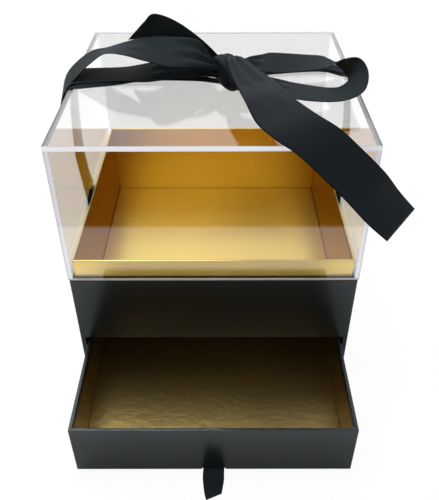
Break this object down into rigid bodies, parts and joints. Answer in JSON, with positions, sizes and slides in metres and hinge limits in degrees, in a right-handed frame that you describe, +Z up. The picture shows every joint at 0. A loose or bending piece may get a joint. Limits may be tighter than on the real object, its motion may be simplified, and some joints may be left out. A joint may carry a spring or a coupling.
{
  "type": "gift box with drawer",
  "caption": "Square gift box: a sliding drawer in a black base, a gold neck tray, and a clear lift-off cover tied with a black satin bow.",
  "frame": {"origin": "middle of the square base's footprint, on the surface that the box stands on", "axes": "+X to the right as the drawer is faced, -Y the way the drawer opens, +Z up"},
  "size_m": [0.2388, 0.3035, 0.2503],
  "materials": {
    "greyboard": "matt pressed grey board",
    "black_paper": "fine embossed black covering paper",
    "gold_foil_paper": "satin gold foil paper",
    "dark_gold_paper": "dark pearl gold paper",
    "clear_acrylic": "polished clear sheet",
    "black_satin": "black satin ribbon"
  },
  "bodies": {
    "base": {"base_bottom_board": "greyboard", "base_left_board": "greyboard", "base_right_board": "greyboard", "base_back_board": "greyboard", "base_front_rail": "greyboard", "deck_board": "greyboard", "base_wrap": "black_paper", "neck_floor_board": "greyboard", "neck_front_board": "greyboard", "neck_back_board": "greyboard", "neck_left_board": "greyboard", "neck_right_board": "greyboard", "neck_foil": "gold_foil_paper"},
    "drawer": {"drawer_bottom_board": "greyboard", "drawer_front_board": "greyboard", "drawer_back_board": "greyboard", "drawer_left_board": "greyboard", "drawer_right_board": "greyboard", "drawer_wrap": "black_paper", "drawer_lining": "dark_gold_paper", "pull_ribbon": "black_satin"},
    "cover": {"cover_top_panel": "clear_acrylic", "cover_front_panel": "clear_acrylic", "cover_back_panel": "clear_acrylic", "cover_left_panel": "clear_acrylic", "cover_right_panel": "clear_acrylic", "ribbon_strap_left": "black_satin", "ribbon_strap_right": "black_satin", "bow_knot": "black_satin", "bow_loop_left": "black_satin", "bow_loop_right": "black_satin", "bow_tail_left": "black_satin", "bow_tail_right": "black_satin"}
  },
  "joints": [
    {"name": "drawer_slide", "type": "slide", "parent": "base", "child": "drawer", "axis": [0, -1, 0], "range_m": [-0.0815, 0.0785]},
    {"name": "cover_lift", "type": "slide", "parent": "base", "child": "cover", "axis": [0, 0, 1], "range_m": [0, 0.12]}
  ]
}
